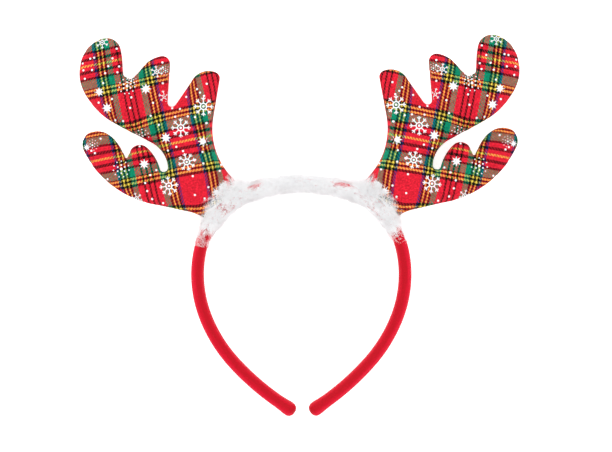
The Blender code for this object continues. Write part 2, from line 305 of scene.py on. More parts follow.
class HeadbandSizes(bpy.types.PropertyGroup):
    outline_step: length("Outline Step", "Spacing of points along the antler's seam", 0.9)
    fill_step: length("Fill Step", "Spacing of points over the antler's faces", 1.6)
    padding: share("Padding", "How far the stuffing blows the cloth up", 0.62)
    firmness: length("Firmness", "Height that the widest padding tends to", 10.5)
    pressure: FloatProperty(
        name="Pressure", description="Pressure of the stuffing while the cloth settles", default=4.0
    )
    cloth_mass: FloatProperty(
        name="Cloth Mass", description="Mass of a point of the cloth", unit="MASS", default=0.00002
    )
    ease: share("Ease", "Share by which the cloth is cut larger than it lies", 0.03, high=0.2)
    settling: length("Settling", "How far the settling cloth may move", 0.9)
    thread: length("Thread", "Width of one thread of the plaid", 0.43)
    ink: length("Ink", "Height of the printed snow over the cloth", 0.07)
    tuft_share: share("Tufts", "How full the down is", 1.0, low=0.05)
    barbs: IntProperty(name="Barbs", description="How many barbs a tuft has", min=3, default=24)
    barb_width: length("Barb Width", "Width of a barb at its root", 0.11)


class HeadbandColours(bpy.types.PropertyGroup):
    red: colour("Red Thread", 212, 34, 52)
    green: colour("Green Thread", 8, 128, 96)
    yellow: colour("Yellow Thread", 236, 205, 78)
    black: colour("Black Thread", 0, 0, 4)
    blue: colour("Blue Thread", 14, 44, 104)
    snow: colour("Printed Snow", 244, 244, 247)
    sleeve: colour("Band Sleeve", 196, 6, 38)
    # Painted sheen: the sleeve's outer side is coloured lighter
    sleeve_painted_sheen: colour("Light Side of Sleeve", 214, 26, 52)
    # Painted shade: a darker streak along the sleeve's inner half
    sleeve_painted_shade: colour("Dark Streak of Sleeve", 174, 2, 28)
    feather: colour("Feather", 253, 253, 254)
    floor: colour("Floor", 246, 246, 246)


# Lines and fields

def photo_point(x, y):
    """A pixel of the left antler as millimetres in the frame."""
    dx = (x - PHOTO_CENTRE[0]) / FACE_SCALE
    dy = (y - PHOTO_CENTRE[1]) / FACE_SCALE
    return (dx - PHOTO_TILT * dy) * PIXEL, -(dy + PHOTO_TILT * dx) * PIXEL - CENTRE_Y


def arc_path(step):
    """Points and headings of the half band, from its top round to its tip."""
    point = np.array([0.0, BAND_TOP_Y - CENTRE_Y])
    heading = pi
    points = [point]
    headings = [heading]
    for _, radius, turn in BAND_ARCS:
        angle = radians(turn)
        count = max(1, round(radius * angle / step))
        part = angle / count
        for _ in range(count):
            way = heading + part / 2
            chord = 2 * radius * sin(part / 2)
            point = point + chord * np.array([cos(way), sin(way)])
            heading += part
            points.append(point)
            headings.append(heading)
    return np.array(points), np.array(headings)


def outward(headings):
    """Unit vectors that point away from the head, to the right of each heading."""
    return np.stack([np.sin(headings), -np.cos(headings)], axis=-1)


def whole_band(step):
    """The band's centre line, outward vectors and distance along it from its top."""
    points, headings = arc_path(step)
    side = outward(headings)
    flip = np.array([-1.0, 1.0])
    steps = norm(np.diff(points, axis=0), axis=1)
    along = np.concatenate([[0.0], np.cumsum(steps)])
    points = np.concatenate([points[:0:-1] * flip, points])
    sides = np.concatenate([side[:0:-1] * flip, side])
    return points, sides, np.concatenate([-along[:0:-1], along])


def belt(rows, step):
    """The closed line round the circles."""
    centres = np.array([(row[1], row[2] - CENTRE_Y) for row in rows])
    radii = np.array([row[3] * row[4] for row in rows])
    count = len(rows)
    headings = []
    for i in range(count):
        j = (i + 1) % count
        dx, dy = centres[j] - centres[i]
        lean = (radii[j] - radii[i]) / hypot(dx, dy)
        headings.append(atan2(dy, dx) - asin(max(-1.0, min(1.0, lean))))
    line = []
    for i in range(count):
        start = headings[i - 1]
        turn = (headings[i] - start + pi) % (2 * pi) - pi
        parts = max(1, round(abs(turn * radii[i]) / step))
        for k in range(parts + 1):
            way = start + turn * k / parts
            line.append(centres[i] + radii[i] * np.array([sin(way), -cos(way)]))
    return np.array(line)


def even_line(line, step):
    """A closed line cut into even steps."""
    closed = np.concatenate([line, line[:1]])
    along = np.concatenate([[0.0], np.cumsum(norm(np.diff(closed, axis=0), axis=1))])
    count = round(along[-1] / step)
    spots = np.arange(count) * along[-1] / count
    return np.stack([np.interp(spots, along, closed[:, k]) for k in range(2)], axis=1)


def inside(points, line):
    """Whether each point lies inside the closed line."""
    found = np.zeros(len(points), bool)
    for (ax, ay), (bx, by) in zip(line, np.roll(line, -1, axis=0)):
        if ay == by:
            continue
        spans = (ay > points[:, 1]) != (by > points[:, 1])
        cross = ax + (points[:, 1] - ay) * (bx - ax) / (by - ay)
        found ^= spans & (points[:, 0] < cross)
    return found


def distance_to(points, line):
    """Distance from each point to the closed line."""
    best = np.full(len(points), 1e9)
    for a, b in zip(line, np.roll(line, -1, axis=0)):
        run = b - a
        share = np.clip(((points - a) @ run) / max(run @ run, 1e-12), 0.0, 1.0)
        best = np.minimum(best, norm(points - a - share[:, None] * run, axis=1))
    return best


def root_line(offset, step=1.0):
    """The left half of the band's centre line moved outwards."""
    points, headings = arc_path(step)
    return points + outward(headings) * offset


def off_band(points):
    """Distance from each point to the left half of the band's centre line."""
    return norm(points[:, None] - root_line(0.0), axis=2).min(axis=1)


def padding_field(line, padding, firm):
    """The height of stuffed cloth sewn along the line, as a function of x and y."""
    low = line.min(axis=0) - 2 * FILM_GRID
    size = np.ceil((line.max(axis=0) + 2 * FILM_GRID - low) / FILM_GRID).astype(int) + 1
    xs = low[0] + FILM_GRID * np.arange(size[0])
    ys = low[1] + FILM_GRID * np.arange(size[1])
    nodes = np.stack(np.meshgrid(xs, ys, indexing="ij"), axis=-1)
    held = inside(nodes.reshape(-1, 2), line).reshape(size)
    checker = (np.arange(size[0])[:, None] + np.arange(size[1])) % 2
    film = np.zeros(size)
    for _ in range(FILM_ROUNDS):
        for half in (0, 1):
            around = np.zeros(size)
            around[1:-1, 1:-1] = film[2:, 1:-1] + film[:-2, 1:-1] + film[1:-1, 2:] + film[1:-1, :-2]
            better = (around + FILM_GRID * FILM_GRID) / 4
            here = held & (checker == half)
            film[here] += FILM_PUSH * (better[here] - film[here])

    def height(points):
        points = np.asarray(points)
        spot = (points - low) / FILM_GRID
        cell = np.clip(np.floor(spot).astype(int), 0, size - 2)
        u, v = (spot - cell).T
        i, j = cell.T
        near = film[i, j] * (1 - u) * (1 - v) + film[i + 1, j] * u * (1 - v)
        far = film[i, j + 1] * (1 - u) * v + film[i + 1, j + 1] * u * v
        soft = padding * np.sqrt(2 * np.maximum(near + far, 0.0))
        full = soft / np.sqrt(1 + (soft / firm) ** 2)
        ease = np.clip((off_band(points) - BAND_HALF_THICK) / ROOT_REACH, 0.0, 1.0)
        return full * (ROOT_SHARE + (1 - ROOT_SHARE) * ease * ease * (3 - 2 * ease))

    return height


# Meshes

def nothing_selected():
    """Leave object mode clear for the next piece."""
    if bpy.context.mode != "OBJECT":
        bpy.ops.object.mode_set(mode="OBJECT")
    bpy.ops.object.select_all(action="DESELECT")


def add_object(name, data):
    """A new object in the scene, at the origin."""
    obj = bpy.data.objects.new(name, data)
    bpy.context.scene.collection.objects.link(obj)
    return obj


def mesh_object(name, points, faces):
    """A smooth mesh object from points in millimetres."""
    mesh = bpy.data.meshes.new(name)
    mesh.from_pydata([tuple(p) for p in np.asarray(points) * MM], [], faces)
    mesh.update()
    mesh.shade_smooth()
    return add_object(name, mesh)


def turn_faces_out(obj):
    """Merge doubles and point every face of a closed mesh outwards."""
    shape = bmesh.new()
    shape.from_mesh(obj.data)
    bmesh.ops.remove_doubles(shape, verts=shape.verts, dist=1e-7)
    bmesh.ops.recalc_face_normals(shape, faces=shape.faces)
    if shape.calc_volume(signed=True) < 0:
        bmesh.ops.reverse_faces(shape, faces=shape.faces)
    shape.to_mesh(obj.data)
    shape.free()


def point_values(mesh, name, values):
    """Store one number for each point of the mesh."""
    attribute = mesh.attributes.new(name, "FLOAT", "POINT")
    attribute.data.foreach_set("value", np.asarray(values, np.float32))


def mesh_points(mesh):
    """All points of a mesh, in millimetres."""
    points = np.empty(len(mesh.vertices) * 3)
    mesh.vertices.foreach_get("co", points)
    return points.reshape(-1, 3) / MM


def finish_piece(obj, node):
    """Hang the piece on the root, and hide the imported solid that it stands for, if any."""
    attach(obj, ROOT)
    if node:
        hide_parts(node)


# Material building

class Finish:
    """A Principled material and short ways to add nodes to it."""

    def __init__(self, name):
        self.material = bpy.data.materials.new(name)
        self.material.use_nodes = True
        self.tree = self.material.node_tree
        self.shader = self.tree.nodes["Principled BSDF"]

    def node(self, kind, **settings):
        made = self.tree.nodes.new("ShaderNode" + kind)
        for key, value in settings.items():
            setattr(made, key, value)
        return made

    def put(self, socket, value):
        if isinstance(value, bpy.types.NodeSocket):
            self.tree.links.new(value, socket)
        else:
            socket.default_value = value

    def math(self, operation, *values):
        made = self.node("Math", operation=operation)
        for socket, value in zip(made.inputs, values):
            self.put(socket, value)
        return made.outputs[0]

    def mix(self, share, first, second):
        made = self.node("Mix", data_type="RGBA")
        self.put(made.inputs[0], share)
        self.put(made.inputs[6], first)
        self.put(made.inputs[7], second)
        return made.outputs[2]

    def place(self):
        """Object coordinates in millimetres, and the height alone."""
        spot = self.node("TexCoord").outputs["Object"]
        scaled = self.node("VectorMath", operation="SCALE")
        self.put(scaled.inputs[0], spot)
        scaled.inputs["Scale"].default_value = 1 / MM
        split = self.node("SeparateXYZ")
        self.put(split.inputs[0], scaled.outputs[0])
        return scaled.outputs[0], split.outputs[2]

    def join(self, x, y):
        made = self.node("CombineXYZ")
        self.put(made.inputs[0], x)
        self.put(made.inputs[1], y)
        return made.outputs[0]

    def noise(self, vector, scale, detail=2.0):
        made = self.node("TexNoise")
        self.put(made.inputs["Vector"], vector)
        made.inputs["Scale"].default_value = scale
        made.inputs["Detail"].default_value = detail
        return made.outputs["Fac"]

    def ramp(self, where, stops, blend="LINEAR"):
        """A ramp of colours; each stop is its place and its colour."""
        ramp = self.node("ValToRGB")
        ramp.color_ramp.interpolation = blend
        points = ramp.color_ramp.elements
        while len(points) < len(stops):
            points.new(1.0)
        for point, (start, shade) in zip(points, stops):
            point.position = start
            point.color = shade if len(shade) == 4 else (*shade, 1.0)
        self.put(ramp.inputs[0], where)
        return ramp

    def scale(self, shade, factor):
        made = self.node("VectorMath", operation="SCALE")
        self.put(made.inputs[0], shade)
        self.put(made.inputs["Scale"], factor)
        return made.outputs[0]

    def as_seen(self, shade):
        """Turn a colour mixed in screen values into the shader's linear ones."""
        made = self.node("Gamma")
        made.inputs["Gamma"].default_value = 2.2
        self.put(made.inputs["Color"], shade)
        return made.outputs[0]

    def bump(self, height, strength, distance):
        made = self.node("Bump")
        made.inputs["Strength"].default_value = strength
        made.inputs["Distance"].default_value = distance * MM
        self.put(made.inputs["Height"], height)
        self.put(self.shader.inputs["Normal"], made.outputs[0])

    def set(self, **values):
        for key, value in values.items():
            self.put(self.shader.inputs[key.replace("_", " ")], value)


def shades():
    return bpy.context.scene.headband_colours


def sizes():
    return bpy.context.scene.headband_sizes


def size_of(name):
    """A length property in millimetres."""
    return getattr(sizes(), name) / MM


def stripe_stops(stripes):
    """Ramp stops from a stripe table that is mirrored about its two ends."""
    stops = []
    start = 0.0
    for name, end in stripes:
        stops.append((start / stripes[-1][1], (*getattr(shades(), name), THREAD_WEIGHTS[name])))
        start = end
    return stops


def plaid_finish():
    """Twill plaid: two sets of striped threads that cross over and under each other."""
    finish = Finish("plaid twill")
    calc = finish.math
    spot, z = finish.place()
    left = finish.node("Attribute", attribute_name="cloth_x").outputs["Fac"]
    up = finish.node("Attribute", attribute_name="cloth_y").outputs["Fac"]
    c = cos(radians(PLAID_ANGLE))
    s = sin(radians(PLAID_ANGLE))

    def along(zero, first, second):
        first = calc("MULTIPLY", calc("SUBTRACT", left, zero[0]), first)
        second = calc("MULTIPLY", calc("SUBTRACT", up, zero[1]), second)
        return calc("ADD", first, second)

    warp = along(WARP_ZERO, c, s)
    weft = along(WEFT_ZERO, s, -c)
    thread = size_of("thread")
    over = calc("FLOOR", calc("DIVIDE", warp, thread))
    under = calc("FLOOR", calc("DIVIDE", weft, thread))
    step = calc("FLOORED_MODULO", calc("ADD", over, under), TWILL_THREADS)
    warp_on_top = calc("LESS_THAN", step, TWILL_THREADS / 2 - 0.5)

    def threads(where, stripes):
        half = stripes[-1][1]
        folded = calc("DIVIDE", calc("PINGPONG", where, half), half)
        ramp = finish.ramp(folded, stripe_stops(stripes), "CONSTANT")
        return ramp.outputs[0], ramp.outputs[1]

    warp_colour, warp_weight = threads(warp, WARP_STRIPES)
    weft_colour, weft_weight = threads(weft, WEFT_STRIPES)
    both = calc("ADD", warp_weight, weft_weight)
    share = calc("DIVIDE", warp_weight, both)
    share = calc("ADD", share, calc("MULTIPLY_ADD", warp_on_top, 1.0, -0.5))
    share = calc("MINIMUM", calc("MAXIMUM", share, 0.0), 1.0)
    woven = finish.mix(share, weft_colour, warp_colour)
    slub = finish.node("TexWhiteNoise", noise_dimensions="2D")
    finish.put(slub.inputs["Vector"], finish.join(over, under))
    woven = finish.scale(woven, calc("MULTIPLY_ADD", slub.outputs[0], 0.24, 0.88))
    worn = finish.noise(spot, 0.9, 3.0)
    woven = finish.scale(woven, calc("MULTIPLY_ADD", worn, 0.5, 0.73))
    rise = calc("ABSOLUTE", calc("SUBTRACT", z, MID_HEIGHT))
    seam = calc("MULTIPLY", calc("LESS_THAN", rise, SEAM_HALF_HEIGHT), SEAM_REDNESS)
    woven = finish.mix(seam, woven, (*shades().red, 1.0))
    finish.set(Base_Color=finish.as_seen(woven))
    ridge = calc("PINGPONG", calc("DIVIDE", warp, thread), 0.5)
    rib = calc("PINGPONG", calc("DIVIDE", weft, thread), 0.5)
    finish.bump(calc("ADD", ridge, rib), 0.35, 0.06)
    finish.set(Roughness=0.85, Specular_IOR_Level=0.12, Sheen_Weight=0.02, Sheen_Roughness=0.5)
    return finish.material


def cloth_places(mesh):
    """Where each point of the left antler lay while its plaid was still flat."""
    points = mesh_points(mesh)
    side = np.array([tuple(v.normal)[:2] for v in mesh.vertices])
    length = norm(side, axis=1)
    lean = np.arcsin(np.minimum(length, 1.0))
    flat = points[:, :2] + side * (EDGE_ROUND * (lean - length) / np.maximum(length, 1e-6))[:, None]
    flat = (flat + (0.0, CENTRE_Y)) * FACE_SCALE
    for x, y, reach, right, down in PULLS:
        off = points[:, :2] - photo_point(x, y)
        near = np.exp(-(off ** 2).sum(axis=1) / (reach * PIXEL) ** 2)
        flat -= near[:, None] * PIXEL * np.array((right, -down))
    return flat


def snow_finish():
    """White ink with a faint grain."""
    finish = Finish("snow ink")
    spot = finish.place()[0]
    grain = finish.noise(spot, 2.2, 2.0)
    ink = finish.scale((*shades().snow,), finish.math("MULTIPLY_ADD", grain, 0.12, 0.92))
    finish.set(Base_Color=finish.as_seen(ink), Roughness=0.75, Specular_IOR_Level=0.2)
    finish.bump(grain, 0.2, 0.05)
    return finish.material


def sleeve_finish():
    """Red napped cloth drawn tight over the band, with a painted sheen along its outer side and a painted
    shade streak on its inner half, beside the middle.
    """
    finish = Finish("band sleeve cloth")
    spot = finish.place()[0]
    across = finish.node("Attribute", attribute_name="across").outputs["Fac"]
    length = finish.node("Attribute", attribute_name="along").outputs["Fac"]
    drawn = finish.join(finish.math("MULTIPLY", across, 3.0), finish.math("MULTIPLY", length, 0.06))
    streaks = finish.noise(drawn, 1.0, 4.0)
    nap = finish.noise(spot, 1.3, 4.0)
    place = finish.math("MULTIPLY_ADD", across, 0.5, 0.5)
    shift = finish.math("MULTIPLY", finish.math("SUBTRACT", streaks, 0.5), 0.5)
    place = finish.math("ADD", place, shift)
    plain = shades().sleeve
    # Painted sheen: the lighter colour laid along the sleeve's outer side
    light = shades().sleeve_painted_sheen
    # Painted shade: the darker streak on the sleeve's inner half, beside the middle
    painted_shade = shades().sleeve_painted_shade
    # Across the sleeve from its inner side (0) to its outer side (1): plain, a painted shade streak, plain,
    # then painted sheen; the streak noise shifts them along the band
    stops = (0.0, plain), (0.12, plain), (0.3, painted_shade), (0.5, painted_shade), (0.66, plain), (0.8, light), (1.0, light)
    cloth = finish.mix(0.25, finish.ramp(place, stops).outputs[0], (*plain, 1.0))
    cloth = finish.scale(cloth, finish.math("MULTIPLY_ADD", nap, 0.24, 0.88))
    finish.set(Base_Color=finish.as_seen(cloth))
    finish.bump(finish.math("ADD", nap, streaks), 0.4, 0.2)
    finish.set(Roughness=0.65, Specular_IOR_Level=0.15, Sheen_Weight=0.03, Sheen_Roughness=0.4)
    finish.shader.inputs["Sheen Tint"].default_value = (1.0, 0.35, 0.4, 1.0)
    return finish.material


def feather_finish():
    """White down."""
    finish = Finish("white down")
    spot = finish.place()[0]
    grain = finish.noise(spot, 0.5, 3.0)
    down = finish.scale((*shades().feather,), finish.math("MULTIPLY_ADD", grain, 0.1, 0.93))
    finish.set(Base_Color=finish.as_seen(down), Roughness=0.8, Sheen_Weight=0.1)
    return finish.material


# Pieces

def sleeve_ring(obj):
    """Shape the circle that is being edited into the sleeve's section."""
    shape = bmesh.from_edit_mesh(obj.data)
    for vert in shape.verts:
        angle = atan2(vert.co.z - MID_HEIGHT * MM, vert.co.y - (BAND_TOP_Y - CENTRE_Y) * MM)
        c = cos(angle)
        s = sin(angle)
        out = copysign(abs(c) ** BAND_SQUARENESS, c) * BAND_HALF_THICK
        up = copysign(abs(s) ** BAND_SQUARENESS, s) * BAND_HALF_DEPTH
        vert.co.y = (BAND_TOP_Y - CENTRE_Y + out) * MM
        vert.co.z = (MID_HEIGHT + up) * MM
    bmesh.update_edit_mesh(obj.data)


class HEADBAND_OT_sleeve(bpy.types.Operator):
    """Spin the band's cloth sleeve round its arcs, close its tips and mirror it"""

    bl_idname = "headband.sleeve"
    bl_label = "Band Sleeve"

    def execute(self, context):
        nothing_selected()
        top = Vector((0.0, (BAND_TOP_Y - CENTRE_Y) * MM, MID_HEIGHT * MM))
        bpy.ops.mesh.primitive_circle_add(
            vertices=BAND_SIDES,
            radius=BAND_HALF_THICK * MM,
            location=top,
            rotation=(0.0, pi / 2, 0.0),
        )
        band = context.active_object
        band.name = "band_sleeve"
        band.data.name = "band_sleeve"
        bpy.ops.object.transform_apply(location=True, rotation=True, scale=True)
        bpy.ops.object.mode_set(mode="EDIT")
        bpy.ops.mesh.select_all(action="SELECT")
        sleeve_ring(band)
        heading = pi
        spot = top.copy()
        for name, radius, turn in BAND_ARCS:
            angle = radians(turn)
            if name == "end":
                angle -= BAND_TIP[0][0] / radius
            centre = spot + radius * MM * Vector((-sin(heading), cos(heading), 0.0))
            steps = max(2, round(radius * angle / BAND_STEP))
            bpy.ops.mesh.spin(steps=steps, angle=-angle, center=centre, axis=(0.0, 0.0, 1.0))
            heading += angle
            spot = centre + radius * MM * Vector((sin(heading), -cos(heading), 0.0))
        way = Vector((cos(heading), sin(heading), 0.0))
        for (start, old), (end, new) in zip(BAND_TIP, BAND_TIP[1:]):
            step = way * (start - end) * MM
            move = {"value": step, "orient_type": "GLOBAL"}
            bpy.ops.mesh.extrude_region_move(TRANSFORM_OT_translate=move)
            spot += step
            bpy.ops.transform.resize(value=(new / old,) * 3, center_override=spot)
        bpy.ops.mesh.extrude_region_move()
        bpy.ops.mesh.merge(type="CENTER")
        bpy.ops.object.mode_set(mode="OBJECT")
        mirror = band.modifiers.new("other half", "MIRROR")
        mirror.merge_threshold = 0.00005
        bpy.ops.object.modifier_apply(modifier=mirror.name)
        turn_faces_out(band)
        band.data.shade_smooth()
        self.mark(band.data)
        band.data.materials.append(sleeve_finish())
        finish_piece(band, "headband")
        return {"FINISHED"}

    def mark(self, mesh):
        """Store how far along and across the band each point lies."""
        points = mesh_points(mesh)
        path, sides, along = whole_band(PATH_STEP)
        near = ((points[:, None, :2] - path) ** 2).sum(axis=2).argmin(axis=1)
        across = ((points[:, :2] - path[near]) * sides[near]).sum(axis=1) / BAND_HALF_THICK
        point_values(mesh, "across", across)
        point_values(mesh, "along", along[near])


def cut_at_band(line, offset, step):
    """The antler's outline, ended along the band instead of at its root corners."""
    cut = root_line(offset, 0.4)
    cut = cut[inside(cut, line)]
    ring = np.concatenate([root_line(offset), root_line(offset)[::-1] * (-1, 1)])
    hidden = inside(line, ring)
    first = np.flatnonzero(hidden & ~np.roll(hidden, -1))[0] + 1
    kept = np.roll(line, -first, axis=0)[: (~hidden).sum()]
    along = norm(np.diff(cut, axis=0), axis=1).sum()
    parts = max(2, round(along / step))
    picks = cut[np.round(np.linspace(0, len(cut) - 1, parts + 1)).astype(int)]
    if norm(picks[0] - kept[-1]) > norm(picks[-1] - kept[-1]):
        picks = picks[::-1]
    kept = kept[1:] if norm(kept[0] - picks[-1]) < 0.4 * step else kept
    kept = kept[:-1] if norm(kept[-1] - picks[0]) < 0.4 * step else kept
    return np.concatenate([kept, picks]), len(kept)


def antler_cloth(name):
    """The left antler's two cloth faces, blown up from one outline and sewn at it."""
    step = size_of("outline_step")
    full = even_line(belt(ANTLER_CIRCLES, OUTLINE_CURVE_STEP), step)
    height = padding_field(full, sizes().padding, size_of("firmness"))
    line, rim = cut_at_band(full, BAND_HALF_THICK + ROOT_GAP, step)
    ahead = np.roll(line, -1, axis=0) - np.roll(line, 1, axis=0)
    ahead /= norm(ahead, axis=1)[:, None]
    inward = np.stack([-ahead[:, 1], ahead[:, 0]], axis=1)
    rows = [line]
    for inset in SEAM_ROWS:
        row = line + inward * inset
        row = row[inside(row, line)]
        rows.append(row[distance_to(row, line) > 0.93 * inset])
    fill = size_of("fill_step")
    low = line.min(axis=0)
    high = line.max(axis=0)
    ys = np.arange(low[1], high[1], fill * 0.866)
    lattice = np.array([
        (x, y)
        for j, y in enumerate(ys)
        for x in np.arange(low[0] + (j % 2) * fill / 2, high[0], fill)
    ])
    lattice = lattice[inside(lattice, line)]
    rows.append(lattice[distance_to(lattice, line) > SEAM_ROWS[-1] + 0.5 * fill])
    points = np.concatenate(rows)
    out, _, triangles, origin, _, _ = delaunay_2d_cdt(
        [tuple(p) for p in points], [], [list(range(len(line)))], 1, 1e-6
    )
    points = np.array([tuple(p) for p in out])
    source = np.array([found[0] if found else -1 for found in origin])
    rise = height(points)
    rise[(source >= 0) & (source < rim)] = 0.0
    count = len(points)
    flat = rise < 1e-6
    top = np.column_stack([points, MID_HEIGHT + rise])
    under = np.column_stack([points, MID_HEIGHT - rise])
    below = np.where(flat, np.arange(count), count + np.arange(count))
    faces = [tuple(t) for t in triangles]
    faces += [tuple(int(below[v]) for v in reversed(t)) for t in triangles]
    place = {int(s): i for i, s in enumerate(source) if s >= 0}
    for i in range(rim - 1, len(line)):
        a = place[i]
        b = place[(i + 1) % len(line)]
        wall = list(dict.fromkeys([a, int(below[a]), int(below[b]), b]))
        if len(wall) > 2:
            faces.append(tuple(wall))
    verts = np.concatenate([top, under])
    used = sorted({v for face in faces for v in face})
    index = {v: i for i, v in enumerate(used)}
    faces = [tuple(index[v] for v in face) for face in faces]
    obj = mesh_object(name, verts[used], faces)
    turn_faces_out(obj)
    points = mesh_points(obj.data)
    seam = np.abs(points[:, 2] - MID_HEIGHT) < 0.05
    near = off_band(points[:, :2]) < BAND_HALF_THICK + SEWN_MARGIN
    settle_cloth(obj, np.flatnonzero(seam | near))
    return obj


def settle_cloth(obj, held):
    """Let the stuffing's pressure push the loosely cut cloth out from its sewn edge."""
    sewn = obj.vertex_groups.new(name="sewn")
    sewn.add([int(v) for v in held], 1.0, "REPLACE")
    start = mesh_points(obj.data)
    cloth = obj.modifiers.new("stuffed cloth", "CLOTH")
    for key, value in CLOTH.items():
        setattr(cloth.settings, key, value)
    cloth.settings.mass = sizes().cloth_mass
    cloth.settings.vertex_group_mass = sewn.name
    cloth.settings.shrink_min = -sizes().ease
    cloth.settings.uniform_pressure_force = sizes().pressure
    cloth.settings.effector_weights.gravity = 0.0
    cloth.collision_settings.use_collision = False
    for number in range(1, SETTLING_FRAMES + 1):
        bpy.context.scene.frame_set(number)
    settled = obj.evaluated_get(bpy.context.evaluated_depsgraph_get())
    moved = mesh_points(settled.data) - start
    far = norm(moved, axis=1)
    limit = size_of("settling")
    moved *= (limit / np.maximum(far, limit))[:, None]
    obj.modifiers.remove(cloth)
    obj.vertex_groups.remove(sewn)
    bpy.context.scene.frame_set(1)
    points = start + moved
    points[:, 2] = np.maximum(points[:, 2], FLOOR_GAP)
    obj.data.vertices.foreach_set("co", (points * MM).ravel())
    obj.data.update()


def mirrored(obj, name):
    """A copy with its own mesh, on the other side of the band."""
    mesh = obj.data.copy()
    mesh.name = name
    for vert in mesh.vertices:
        vert.co.x = -vert.co.x
    mesh.flip_normals()
    return add_object(name, mesh)


class HEADBAND_OT_antlers(bpy.types.Operator):
    """Stuff the left antler, then mirror it for the right one"""

    bl_idname = "headband.antlers"
    bl_label = "Stuffed Antlers"

    def execute(self, context):
        left = antler_cloth("antler_cloth_left")
        for name, values in zip(("cloth_x", "cloth_y"), cloth_places(left.data).T):
            point_values(left.data, name, values)
        left.data.materials.append(plaid_finish())
        right = mirrored(left, "antler_cloth_right")
        finish_piece(left, "antler_left")
        finish_piece(right, "antler_right")
        return {"FINISHED"}


def strip(start, end, width, parts):
    """A thin flat strip between two points, as points and faces."""
    start = np.array(start, float)
    run = np.array(end, float) - start
    side = np.array([-run[1], run[0]]) / norm(run) * width / 2
    points = []
    for k in range(parts + 1):
        spot = start + run * k / parts
        points += [spot - side, spot + side]
    faces = [(2 * k, 2 * k + 2, 2 * k + 3, 2 * k + 1) for k in range(parts)]
    return points, faces


def round_point(x, y, radius, share):
    """The point at a radius and a share of the whole turn."""
    angle = 2 * pi * share
    return x + radius * cos(angle), y + radius * sin(angle)


def disc(x, y, radii, sides):
    """A flat shape of rings round a middle point; radii may vary from side to side."""
    rings = np.array(radii, float)
    if rings.ndim == 1:
        rings = np.repeat(rings[:, None], sides, axis=1)
    points = [(x, y)]
    faces = []
    for number, ring in enumerate(rings):
        base = len(points)
        points += [round_point(x, y, ring[k], k / sides) for k in range(sides)]
        for k in range(sides):
            n = (k + 1) % sides
            if number:
                faces.append((base - sides + k, base + k, base + n, base - sides + n))
            else:
                faces.append((0, base + k, base + n))
    return points, faces


def ring_band(x, y, inner, outer, sides):
    """A flat ring."""
    points = [round_point(x, y, radius, k / sides) for radius in (inner, outer) for k in range(sides)]
    faces = [(k, sides + k, sides + (k + 1) % sides, (k + 1) % sides) for k in range(sides)]
    return points, faces


def flake(x, y, radius, turn, arms):
    """A snowflake: a dot, a ring and arms that each end in a fork."""
    shapes = [
        disc(x, y, (0.13 * radius,), 10),
        ring_band(x, y, 0.26 * radius, 0.38 * radius, 18),
    ]
    for k in range(arms):
        angle = radians(90 + turn + 360 / arms * k)
        way = np.array([cos(angle), sin(angle)])
        spot = np.array([x, y])
        shapes.append(strip(spot + way * 0.36 * radius, spot + way * radius, 0.1 * radius, 5))
        for side in (-1, 1):
            branch = angle + side * radians(48)
            tip = np.array([cos(branch), sin(branch)])
            start = spot + way * 0.7 * radius
            shapes.append(strip(start, start + tip * 0.27 * radius, 0.09 * radius, 2))
    return shapes


def star(x, y, radius):
    """An eight-pointed burst."""
    tips = np.where(np.arange(16) % 2, 0.5 * radius, 1.06 * radius)
    return [disc(x, y, np.stack([0.4 * tips, 0.75 * tips, tips]), 16)]


def spray(x, y, radius):
    """A dot inside two rings of smaller dots."""
    shapes = [disc(x, y, (0.16 * radius,), 8)]
    for count, share, size in ((6, 0.45, 0.1), (11, 0.88, 0.08)):
        for k in range(count):
            spot = round_point(x, y, share * radius, k / count + 0.25)
            shapes.append(disc(*spot, (size * radius,), 6))
    return shapes


def snow_shapes():
    """Every printed shape, flat, in millimetres."""
    shapes = []
    for table, draw in ((FLAKES, flake), (STARS, star), (SPRAYS, spray)):
        for x, y, radius, *more in table:
            shapes += draw(*photo_point(x, y), radius * PIXEL, *more)
    for x, y in DOTS:
        shapes.append(disc(*photo_point(x, y), (DOT_RADIUS * PIXEL * 0.6, DOT_RADIUS * PIXEL), 10))
    return shapes


class HEADBAND_OT_snow(bpy.types.Operator):
    """Print the snow on both faces of each antler"""

    bl_idname = "headband.snow"
    bl_label = "Printed Snow"

    def execute(self, context):
        cloth = bpy.data.objects["antler_cloth_left"]
        points = []
        faces = []
        surface = BVHTree.FromPolygons(
            [v.co / MM for v in cloth.data.vertices], [tuple(p.vertices) for p in cloth.data.polygons]
        )
        for flat, parts in snow_shapes():
            for side in (1, -1):
                self.press(surface, flat, parts, side, points, faces)
        left = mesh_object("snow_print_left", points, faces)
        left.data.materials.append(snow_finish())
        right = mirrored(left, "snow_print_right")
        for obj in (left, right):
            finish_piece(obj, None)
        return {"FINISHED"}

    def press(self, surface, flat, parts, side, points, faces):
        """Lay one flat shape on the cloth, leaving out faces that miss it."""
        base = len(points)
        missed = set()
        for number, (x, y) in enumerate(flat):
            start = Vector((x, y, MID_HEIGHT + side * 30.0))
            hit, normal, _, _ = surface.ray_cast(start, Vector((0.0, 0.0, -side)))
            if hit is None or abs(normal.z) < 0.25:
                missed.add(number)
                points.append((x, y, MID_HEIGHT))
                continue
            spot = hit + normal * size_of("ink")
            spot.z = max(spot.z, FLOOR_GAP)
            points.append(tuple(spot))
        for part in parts:
            if missed.intersection(part):
                continue
            part = [base + v for v in part]
            faces.append(tuple(part if side > 0 else reversed(part)))


